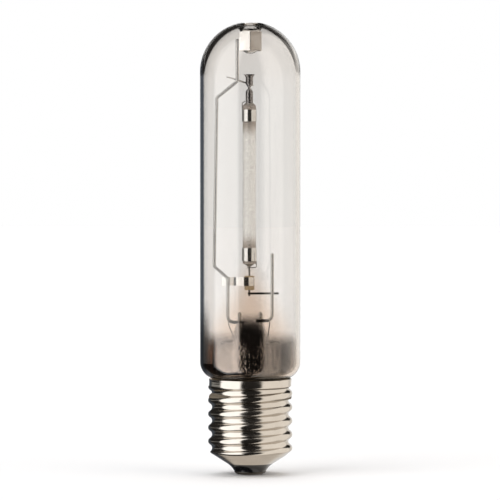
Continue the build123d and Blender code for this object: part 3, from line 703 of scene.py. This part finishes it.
# Near the foot one edge of the glass is painted darker still: painted shade.
at_edge = add_node(
    tree,
    "ShaderNodeMapRange",
    {"From Min": DARK_EDGE_FROM, "From Max": DARK_EDGE_TO},
    [("Value", axes, "X")],
)
near_foot = add_node(
    tree,
    "ShaderNodeMapRange",
    {"From Min": DARK_EDGE_TOP, "From Max": DARK_EDGE_FULL, "interpolation_type": "SMOOTHSTEP"},
    [("Value", axes, "Z")],
)
painted_edge_shade = add_node(
    tree, "ShaderNodeMath", {"operation": "MULTIPLY"}, [(0, at_edge, 0), (1, near_foot, 0)]
)
edge_shaded_tone = add_node(
    tree, "ShaderNodeMix", {"data_type": "RGBA", 7: linear("#4A4642")}, [(0, painted_edge_shade, 0), (6, foot_tinted, 2)]
)
tree.links.new(edge_shaded_tone.outputs[2], shader.inputs["Base Color"])
dress([bulb], bulb_glass)

# ---------------------------------------------------------------- getter film
# Barium from the ring condensed on the cool foot of the bulb as a thin dark mirror. It is
# nearly opaque round the neck and thins out upwards.
FILM_GAP = 0.1               # in mm, from the glass
FILM_THICKNESS = 0.1         # far thicker than the real film, so that it is a closed mesh
FILM_FOOT = 3.6              # above the end of the neck
FILM_RINGS = (60, 70)
FILM_TOP = 80.0
film_radius = inner_radius - FILM_GAP
film_outside = (
    [(NECK_RADIUS - BULB_WALL - FILM_GAP, NECK_BOTTOM + FILM_FOOT)]
    + arc((neck_curve_x, curve_z), NECK_CURVE + BULB_WALL + FILM_GAP, 180, 180 + bend, 10)
    + arc((shoulder_x, TUBE_FOOT), SHOULDER - BULB_WALL - FILM_GAP, bend, 0, 16)[1:]
    + [(film_radius, z) for z in (*FILM_RINGS, FILM_TOP)]
)
film_inside = [(r - FILM_THICKNESS, z) for r, z in reversed(film_outside)]
film = turned("getter_film", film_outside + film_inside, ROUND_STEPS, True)
film.visible_shadow = False
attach(film, "root")

# Evaporated barium: a neutral mirror where it is thin, streaked brown and black where it lies
# thick round the foot. Its edge is uneven, and lower at the lamp's two sides.
EDGE_TOP = 77.5 * MM         # where the film starts
EDGE_FULL = 65.3 * MM
COVER = 0.95
EDGE_DRIFT = 3 * MM          # how unevenly it starts
SIDE_FROM = 4.5 * MM         # from the axis on X, to where the edge lies lower by SIDE_DROP
SIDE_TO = 9 * MM
SIDE_DROP = 9 * MM
THICK_FROM = 66 * MM
THICK_TO = 59 * MM
STREAK_WIDTH = 1.6 * MM
STREAK_LENGTH = 22 * MM
PAINTED_HALF_SHADE_FROM = -4 * MM        # on X, from the half painted paler to the half painted darker: painted light and shade
PAINTED_HALF_SHADE_TO = 5 * MM
RUNS_FROM = -14.5 * MM       # copper-brown runs, on X
RUNS_TO = -16.5 * MM
PATCH_MIDDLE = 15.4 * MM     # smoky patch, on X
PATCH_EDGE = 3.4 * MM
PATCH_CORE = 0.8 * MM
RUFFLED_WITHIN = 5 * MM      # of the axis on X, fading to nothing at RUFFLED_OUT_TO
RUFFLED_OUT_TO = 7 * MM
RUFFLE_SIZE = 1.0 * MM
RUFFLE_HEIGHT = 0.32 * MM
barium, tree, shader = new_finish("barium_film_evaporated", {"Metallic": 1.0, "Roughness": 0.04})
place = add_node(tree, "ShaderNodeTexCoord", {})
axes = add_node(tree, "ShaderNodeSeparateXYZ", {}, [("Vector", place, "Object")])
drift = add_node(
    tree, "ShaderNodeTexNoise", {"Scale": 1 / (14 * MM), "Detail": 2.0}, [("Vector", place, "Object")]
)
aside = add_node(tree, "ShaderNodeMath", {"operation": "ABSOLUTE"}, [(0, axes, "X")])
side_drop = add_node(
    tree,
    "ShaderNodeMapRange",
    {"From Min": SIDE_FROM, "From Max": SIDE_TO, "To Max": SIDE_DROP,
     "interpolation_type": "SMOOTHSTEP"},
    [("Value", aside, 0)],
)
uneven = add_node(
    tree,
    "ShaderNodeMath",
    {"operation": "MULTIPLY_ADD", 1: EDGE_DRIFT},
    [(0, drift, "Fac"), (2, axes, "Z")],
)
edge_height = add_node(
    tree, "ShaderNodeMath", {"operation": "ADD"}, [(0, uneven, 0), (1, side_drop, 0)]
)
cover = add_node(
    tree,
    "ShaderNodeMapRange",
    {"From Min": EDGE_TOP, "From Max": EDGE_FULL, "To Min": 0.0, "To Max": COVER,
     "interpolation_type": "SMOOTHSTEP"},
    [("Value", edge_height, 0)],
)
upright = add_node(
    tree,
    "ShaderNodeMapping",
    {"Scale": (1 / STREAK_WIDTH, 1 / STREAK_WIDTH, 1 / STREAK_LENGTH)},
    [("Vector", place, "Object")],
)
runs = add_node(
    tree, "ShaderNodeTexNoise", {"Scale": 1.0, "Detail": 2.0}, [("Vector", upright, "Vector")]
)
streak = add_node(
    tree,
    "ShaderNodeMapRange",
    {"From Min": 0.38, "From Max": 0.62, "interpolation_type": "SMOOTHSTEP"},
    [("Value", runs, "Fac")],
)
# Painted light and shade: the thick part is painted paler on the left half and darker on the right.
painted_half_shade = add_node(
    tree,
    "ShaderNodeMapRange",
    {"From Min": PAINTED_HALF_SHADE_FROM, "From Max": PAINTED_HALF_SHADE_TO, "To Min": 0.75, "To Max": 0.2},
    [("Value", axes, "X")],
)
share = add_node(
    tree, "ShaderNodeMath", {"operation": "MULTIPLY_ADD", 1: 0.3}, [(0, streak, 0), (2, painted_half_shade, 0)]
)
thick = add_node(
    tree,
    "ShaderNodeMix",
    {"data_type": "RGBA", 6: linear("#332E2B"), 7: linear("#B0B1B3")},
    [(0, share, 0)],
)
# At one side the thick part is darker, with copper-brown runs, and a smoky patch breaks it up at the
# other.
at_side = add_node(
    tree, "ShaderNodeMapRange", {"From Min": RUNS_FROM, "From Max": RUNS_TO}, [("Value", axes, "X")]
)
side_runs = add_node(
    tree, "ShaderNodeMath", {"operation": "MULTIPLY"}, [(0, at_side, 0), (1, streak, 0)]
)
side_darkened = add_node(
    tree, "ShaderNodeMix", {"data_type": "RGBA", 7: linear("#26211E")}, [(0, at_side, 0), (6, thick, 2)]
)
coppery = add_node(
    tree,
    "ShaderNodeMix",
    {"data_type": "RGBA", 7: linear("#C9997A")},
    [(0, side_runs, 0), (6, side_darkened, 2)],
)
from_patch = add_node(
    tree, "ShaderNodeMath", {"operation": "SUBTRACT", 1: PATCH_MIDDLE}, [(0, axes, "X")]
)
near_patch = add_node(tree, "ShaderNodeMath", {"operation": "ABSOLUTE"}, [(0, from_patch, 0)])
patch = add_node(
    tree,
    "ShaderNodeMapRange",
    {"From Min": PATCH_EDGE, "From Max": PATCH_CORE, "To Max": 0.85,
     "interpolation_type": "SMOOTHSTEP"},
    [("Value", near_patch, 0)],
)
smoky = add_node(
    tree, "ShaderNodeMix", {"data_type": "RGBA", 7: linear("#2B2C31")}, [(0, patch, 0), (6, coppery, 2)]
)
depth = add_node(
    tree,
    "ShaderNodeMapRange",
    {"From Min": THICK_FROM, "From Max": THICK_TO, "interpolation_type": "SMOOTHSTEP"},
    [("Value", axes, "Z")],
)
tone = add_node(
    tree, "ShaderNodeMix", {"data_type": "RGBA", 6: linear("#9B9EA2")}, [(0, depth, 0), (7, smoky, 2)]
)
# In front of the stem the thick part glints in spots, so its surface is ruffled there.
middle = add_node(
    tree,
    "ShaderNodeMapRange",
    {"From Min": RUFFLED_OUT_TO, "From Max": RUFFLED_WITHIN},
    [("Value", aside, 0)],
)
ruffled = add_node(
    tree, "ShaderNodeMath", {"operation": "MULTIPLY"}, [(0, depth, 0), (1, middle, 0)]
)
spots = add_node(
    tree, "ShaderNodeTexNoise", {"Scale": 1 / RUFFLE_SIZE, "Detail": 1.0}, [("Vector", place, "Object")]
)
glints = add_node(
    tree,
    "ShaderNodeBump",
    {"Distance": RUFFLE_HEIGHT},
    [("Strength", ruffled, 0), ("Height", spots, "Fac")],
)
tree.links.new(tone.outputs[2], shader.inputs["Base Color"])
tree.links.new(glints.outputs[0], shader.inputs["Normal"])
tree.links.new(cover.outputs[0], shader.inputs["Alpha"])
dress([film], barium)

# ---------------------------------------------------------------- cap: cement
# Basing cement, a mix of resin and marble flour, is filled into the cap and baked on the neck.
# It sets hard, grey-brown and matt.
cement, tree, shader = new_finish("basing_cement_baked", {"Roughness": 0.85})
place = add_node(tree, "ShaderNodeTexCoord", {})
flour = add_node(
    tree, "ShaderNodeTexNoise", {"Scale": 1 / (0.8 * MM), "Detail": 6.0}, [("Vector", place, "Object")]
)
tone = add_node(
    tree,
    "ShaderNodeMix",
    {"data_type": "RGBA", 6: linear("#4E463B"), 7: linear("#7A6F5F")},
    [(0, flour, "Fac")],
)
tree.links.new(tone.outputs[2], shader.inputs["Base Color"])
dress(["cap_cement"], cement)

# ---------------------------------------------------------------- cap: threaded shell
# The shell is drawn from thin brass sheet, its knuckle thread rolled in, then nickel plated.
# The thread fades out on the cone below and runs into the skirt above.
shell_low, shell_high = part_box("cap_shell")
SCREW_RADIUS = (shell_high.x - shell_low.x) / 2 / MM   # these sizes are in mm
SHELL_BOTTOM = shell_low.z / MM
SHELL_TOP = shell_high.z / MM
SHELL_WALL = 0.35
THREAD_PITCH = 6.35
THREAD_DEPTH = 1.8
THREAD_ARC = 1.85            # radius of crest and root
CREST_AT_LEFT = 21.85        # height of a crest on the -X side
RIM_RADIUS = 10.9
CONE_SLOPE = 1.57            # of radius over height
CONE_EASE = 1.6              # how far thread and cone run into each other
SKIRT_RADIUS = 19.1
SKIRT_FOOT = 41.2
SKIRT_REGION = 6             # below the rim, where the skirt shapes the thread
SKIRT_SLOPE = 2.2            # of radius over height below the skirt's foot
SKIRT_EASE = 0.5
SKIRT_FOOT_EASE = 0.3
SKIRT_SPARE = 0.001          # between the skirt and the limit set on it above its foot
LIP_HEIGHT = 0.7             # rounded bead at the skirt's rim
LIP_PROUD = 0.18
ROW = 0.3                    # height of one row of faces
SHELL_STEPS = 180


def blend_less(a, b, ease):
    """The smaller of two radii, rounded over where they meet."""
    share = max(ease - abs(a - b), 0) / ease
    return min(a, b) - share * share * ease / 4


def thread_radius(turn, z):
    """Radius of the rolled thread at an angle and a height: crests and roots are tangent arcs."""
    crest = CREST_AT_LEFT + THREAD_PITCH * (turn - pi) / (2 * pi)
    away = abs((z - crest + THREAD_PITCH / 2) % THREAD_PITCH - THREAD_PITCH / 2)
    if away < THREAD_PITCH / 4:
        return SCREW_RADIUS - THREAD_ARC + sqrt(THREAD_ARC**2 - away**2)
    near_root = THREAD_PITCH / 2 - away
    return SCREW_RADIUS - THREAD_DEPTH + THREAD_ARC - sqrt(THREAD_ARC**2 - near_root**2)


def shell_radius(turn, z):
    """Radius of the shell outside: cone, thread and skirt run into each other."""
    cone = RIM_RADIUS + CONE_SLOPE * (z - SHELL_BOTTOM)
    radius = blend_less(thread_radius(turn, z), cone, CONE_EASE)
    skirt = SKIRT_RADIUS - SKIRT_SLOPE * max(SKIRT_FOOT - z, 0)
    if z > SHELL_TOP - SKIRT_REGION:
        radius = -blend_less(-radius, -skirt, SKIRT_EASE)
        most = SCREW_RADIUS if z < SKIRT_FOOT else SKIRT_RADIUS + SKIRT_SPARE
        radius = blend_less(radius, most, SKIRT_FOOT_EASE)
    bead = 1 - abs(2 * (z - SHELL_TOP) / LIP_HEIGHT + 1)
    return radius + LIP_PROUD * max(bead, 0)


rows = int((SHELL_TOP - SHELL_BOTTOM) / ROW)
row_heights = [SHELL_BOTTOM + (SHELL_TOP - SHELL_BOTTOM) * i / rows for i in range(rows + 1)]
shell = turned("cap_threaded_shell", [(SCREW_RADIUS, z) for z in row_heights], SHELL_STEPS, False)
for vertex in shell.data.vertices:
    turn = atan2(vertex.co.y, vertex.co.x) % (2 * pi)
    radius = shell_radius(turn, vertex.co.z / MM) * MM
    vertex.co.x = radius * cos(turn)
    vertex.co.y = radius * sin(turn)
nothing_selected()
shell.select_set(True)
bpy.context.view_layer.objects.active = shell
sheet = shell.modifiers.new("sheet", "SOLIDIFY")
sheet.thickness = SHELL_WALL * MM
sheet.offset = -1
bpy.ops.object.modifier_apply(modifier=sheet.name)
shell = finished("cap_threaded_shell", 50)
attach(shell, "root")
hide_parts("cap_shell")

# Nickel plate on drawn brass: a warm bright metal, with fine lines round it from the drawing
# and dull patches from handling.
nickel_plate, tree, shader = new_finish("nickel_plated_brass_drawn", {"Metallic": 1.0})
place = add_node(tree, "ShaderNodeTexCoord", {})
around = add_node(
    tree, "ShaderNodeMapping", {"Scale": (1 / (40 * MM), 1 / (40 * MM), 1 / (0.5 * MM))},
    [("Vector", place, "Object")],
)
lines = add_node(
    tree, "ShaderNodeTexNoise", {"Scale": 1.0, "Detail": 4.0}, [("Vector", around, "Vector")]
)
patches = add_node(
    tree, "ShaderNodeTexNoise", {"Scale": 1 / (7 * MM), "Detail": 5.0}, [("Vector", place, "Object")]
)
tone = add_node(
    tree,
    "ShaderNodeMix",
    {"data_type": "RGBA", 6: linear("#B7B0A7"), 7: linear("#CFC9C1")},
    [(0, patches, "Fac")],
)
both = add_node(
    tree, "ShaderNodeMath", {"operation": "MULTIPLY"}, [(0, lines, "Fac"), (1, patches, "Fac")]
)
worn = add_node(
    tree,
    "ShaderNodeMapRange",
    {"From Min": 0.1, "From Max": 0.5, "To Min": 0.08, "To Max": 0.26},
    [("Value", both, 0)],
)
ridges = add_node(
    tree, "ShaderNodeBump", {"Strength": 0.08, "Distance": 0.05 * MM}, [("Height", lines, "Fac")]
)
tree.links.new(tone.outputs[2], shader.inputs["Base Color"])
tree.links.new(worn.outputs[0], shader.inputs["Roughness"])
tree.links.new(ridges.outputs[0], shader.inputs["Normal"])
dress([shell], nickel_plate)

# ---------------------------------------------------------------- cap: solder
# Soft solder closes the hole through which the side lead comes out, and the eyelet of the
# contact. It set dull, with a frosty grain.
solder, tree, shader = new_finish("tin_solder_dull", {"Metallic": 1.0})
place = add_node(tree, "ShaderNodeTexCoord", {})
frost = add_node(
    tree, "ShaderNodeTexNoise", {"Scale": 1 / (0.6 * MM), "Detail": 4.0}, [("Vector", place, "Object")]
)
tone = add_node(
    tree,
    "ShaderNodeMix",
    {"data_type": "RGBA", 6: linear("#8C8B89"), 7: linear("#C2C1BF")},
    [(0, frost, "Fac")],
)
dull = add_node(tree, "ShaderNodeMapRange", {"To Min": 0.25, "To Max": 0.5}, [("Value", frost, "Fac")])
tree.links.new(tone.outputs[2], shader.inputs["Base Color"])
tree.links.new(dull.outputs[0], shader.inputs["Roughness"])
dress(["side_solder", "centre_solder"], solder)

# ---------------------------------------------------------------- cap: insulator
# The insulator is vitrite, a black glass that is moulded hot into the shell and round the
# contact. It has a slightly wavy skin with a soft gloss.
vitrite, tree, shader = new_finish(
    "vitrite_glass_moulded_black", {"IOR": 1.6, "Specular IOR Level": 0.3, "Roughness": 0.14}
)
place = add_node(tree, "ShaderNodeTexCoord", {})
skin = add_node(
    tree, "ShaderNodeTexNoise", {"Scale": 1 / (2.5 * MM), "Detail": 4.0}, [("Vector", place, "Object")]
)
tone = add_node(
    tree,
    "ShaderNodeMix",
    {"data_type": "RGBA", 6: linear("#0B0B0D"), 7: linear("#151517")},
    [(0, skin, "Fac")],
)
mould = add_node(
    tree, "ShaderNodeBump", {"Strength": 0.1, "Distance": 0.1 * MM}, [("Height", skin, "Fac")]
)
tree.links.new(tone.outputs[2], shader.inputs["Base Color"])
tree.links.new(mould.outputs[0], shader.inputs["Normal"])
dress(["cap_insulator"], vitrite)

# ---------------------------------------------------------------- cap: end contact
# The contact is a disc stamped from brass sheet, with an eyelet and a crowned edge, and is set
# in the vitrite's face. Its colour is painted dark, a painted shade for the dark that it mirrors
# below, and it is rubbed a little brighter in places.
painted_dark_brass, tree, shader = new_finish("brass_sheet_painted_dark", {"Metallic": 1.0})
place = add_node(tree, "ShaderNodeTexCoord", {})
rubs = add_node(
    tree, "ShaderNodeTexNoise", {"Scale": 1 / (1.8 * MM), "Detail": 5.0}, [("Vector", place, "Object")]
)
# Painted shade: the brass is given a dark colour for the dark that it mirrors below.
tone = add_node(
    tree,
    "ShaderNodeMix",
    {"data_type": "RGBA", 6: linear("#2C2A28"), 7: linear("#55504A")},
    [(0, rubs, "Fac")],
)
dull = add_node(tree, "ShaderNodeMapRange", {"To Min": 0.4, "To Max": 0.6}, [("Value", rubs, "Fac")])
tree.links.new(tone.outputs[2], shader.inputs["Base Color"])
tree.links.new(dull.outputs[0], shader.inputs["Roughness"])
dress(["centre_contact"], painted_dark_brass)

# ---------------------------------------------------------------- floor, studio and camera
# A white sweep, lit softly from both sides. What the metal and glass mirror is the studio: a
# bright softbox on the left, a warmer one on the right, and dark room between and above them.
FLOOR_SIZE = 6.0
nothing_selected()
bpy.ops.mesh.primitive_plane_add(size=FLOOR_SIZE, location=(0, 0, cad_box[0][2]))
floor = bpy.context.active_object
floor.name = "floor"
floor.visible_glossy = False
paper, tree, shader = new_finish(
    "paper_white_matt", {"Roughness": 0.9, "Base Color": linear("#F6F6F6")}
)
route = add_node(tree, "ShaderNodeLightPath", {})
mirrored = add_node(
    tree, "ShaderNodeMath", {"operation": "LESS_THAN", 1: 0.5}, [(0, route, "Glossy Depth")]
)
tree.links.new(mirrored.outputs[0], shader.inputs["Alpha"])
dress([floor], paper)

world = bpy.data.worlds.new("studio")
bpy.context.scene.world = world
world.use_nodes = True
tree = world.node_tree
tree.nodes.clear()
route = add_node(tree, "ShaderNodeLightPath", {})
direction = add_node(tree, "ShaderNodeTexCoord", {})
axes = add_node(tree, "ShaderNodeSeparateXYZ", {}, [("Vector", direction, "Generated")])
# Azimuth is 0 towards -Y, the front, and grows towards +X. Height is the direction's Z.
front = add_node(tree, "ShaderNodeMath", {"operation": "MULTIPLY", 1: -1.0}, [(0, axes, "Y")])
azimuth = add_node(tree, "ShaderNodeMath", {"operation": "ARCTAN2"}, [(0, axes, "X"), (1, front, 0)])


def window(value, output, low, high, ease):
    """1 between low and high, falling to 0 over ease at both ends."""
    rise = add_node(
        tree,
        "ShaderNodeMapRange",
        {"From Min": low - ease, "From Max": low + ease, "interpolation_type": "SMOOTHSTEP"},
        [("Value", value, output)],
    )
    fall = add_node(
        tree,
        "ShaderNodeMapRange",
        {"From Min": high + ease, "From Max": high - ease, "interpolation_type": "SMOOTHSTEP"},
        [("Value", value, output)],
    )
    return add_node(tree, "ShaderNodeMath", {"operation": "MULTIPLY"}, [(0, rise, 0), (1, fall, 0)])


# Each panel has its azimuths in degrees, its heights, its colour and strength, and how many
# degrees soft its sides are.
HEIGHT_EASE = 0.06
DARK_ROOM = "#2A2826"
panels = [
    ("left softbox", (-92, -27), (-0.85, 0.95), "#FFFFFF", 2.0, 4),
    ("right softbox", (33, 140), (-1.1, 0.9), "#F8F2EA", 1.35, 5),
    ("ceiling on the right", (20, 130), (0.84, 1.1), "#F2EDE6", 0.9, 8),
    ("right wall", (140, 169), (-0.66, 0.25), "#F6F1EA", 1.0, 4),
    ("left wall", (-138, -92), (-0.07, -0.02), "#F4F4F2", 0.8, 4),
    ("room behind on the left", (-173, -142), (-0.5, 0.12), "#8E97A4", 0.3, 3),
    ("sweep on the left", (-190, -174), (-0.5, 0.40), "#FFFFFF", 1.0, 2),
    ("sweep on the right", (167, 190), (-0.66, 0.25), "#FFFFFF", 0.85, 3),
    ("floor behind on the left", (-190, -152), (-1.1, -0.6), "#EFE6DA", 0.85, 6),
    ("floor behind on the right", (95, 190), (-1.1, -0.6), "#EFE6DA", 0.85, 6),
]
total = add_node(tree, "ShaderNodeRGB", {})
total.outputs[0].default_value = linear(DARK_ROOM)
for label, azimuths, heights, colour, strength, ease in panels:
    across = window(azimuth, 0, radians(azimuths[0]), radians(azimuths[1]), radians(ease))
    upright = window(axes, "Z", heights[0], heights[1], HEIGHT_EASE)
    shape = add_node(
        tree, "ShaderNodeMath", {"operation": "MULTIPLY"}, [(0, across, 0), (1, upright, 0)]
    )
    glow = [channel * strength for channel in linear(colour)[:3]] + [1.0]
    total = add_node(
        tree,
        "ShaderNodeMix",
        {"data_type": "RGBA", "label": label, 7: glow},
        [(0, shape, 0), (6, total, 2 if total.type == "MIX" else 0)],
    )
mirrored = add_node(
    tree, "ShaderNodeMath", {"operation": "GREATER_THAN", 1: 0.5}, [(0, route, "Glossy Depth")]
)
seen = add_node(
    tree,
    "ShaderNodeMix",
    {"data_type": "RGBA", 6: (1, 1, 1, 1)},
    [(0, mirrored, 0), (7, total, 2)],
)
lit = add_node(
    tree,
    "ShaderNodeMix",
    {"data_type": "RGBA", 7: (0.45, 0.45, 0.46, 1)},
    [(0, route, "Is Diffuse Ray"), (6, seen, 2)],
)
sky = add_node(tree, "ShaderNodeBackground", {"Strength": 1.0}, [("Color", lit, 2)])
add_node(tree, "ShaderNodeOutputWorld", {}, [("Surface", sky, "Background")])

LAMP_ANGLE = radians(50)     # the soft boxes are wide, so shadows are soft
lamps = [
    ("key_softbox", (-0.9, -0.7, 0.7), 1.25, "#FFFFFF"),
    ("fill_softbox", (1.0, -0.5, 0.6), 0.8, "#FFF4E8"),
    ("top_light", (0.0, 0.2, 1.0), 1.2, "#FFFFFF"),
]
for name, towards, strength, colour in lamps:
    lamp_data = bpy.data.lights.new(name, "SUN")
    lamp_data.angle = LAMP_ANGLE
    lamp_data.energy = strength
    lamp_data.color = linear(colour)[:3]
    lamp = bpy.data.objects.new(name, lamp_data)
    lamp.rotation_euler = Vector(towards).to_track_quat("Z", "Y").to_euler()
    lamp.visible_glossy = False
    lamp.visible_transmission = False
    bpy.context.scene.collection.objects.link(lamp)

# A long lens, a little above the lamp's middle.
LENS = 300.0
SENSOR = 36.0
FRAME_HEIGHT = 231.75 * MM
CAMERA_RISE = 2.5            # degrees above level
AIM = Vector((-0.1 * MM, 0, 104.3 * MM))
camera_data = bpy.data.cameras.new("camera")
camera_data.lens = LENS
camera_data.sensor_width = SENSOR
camera = bpy.data.objects.new("camera", camera_data)
distance = FRAME_HEIGHT * LENS / SENSOR
camera.location = AIM + distance * Vector((0, -cos(radians(CAMERA_RISE)), sin(radians(CAMERA_RISE))))
camera.rotation_euler = (AIM - camera.location).to_track_quat("-Z", "Y").to_euler()
bpy.context.scene.collection.objects.link(camera)
bpy.context.scene.camera = camera
bpy.context.scene.view_settings.view_transform = "Standard"
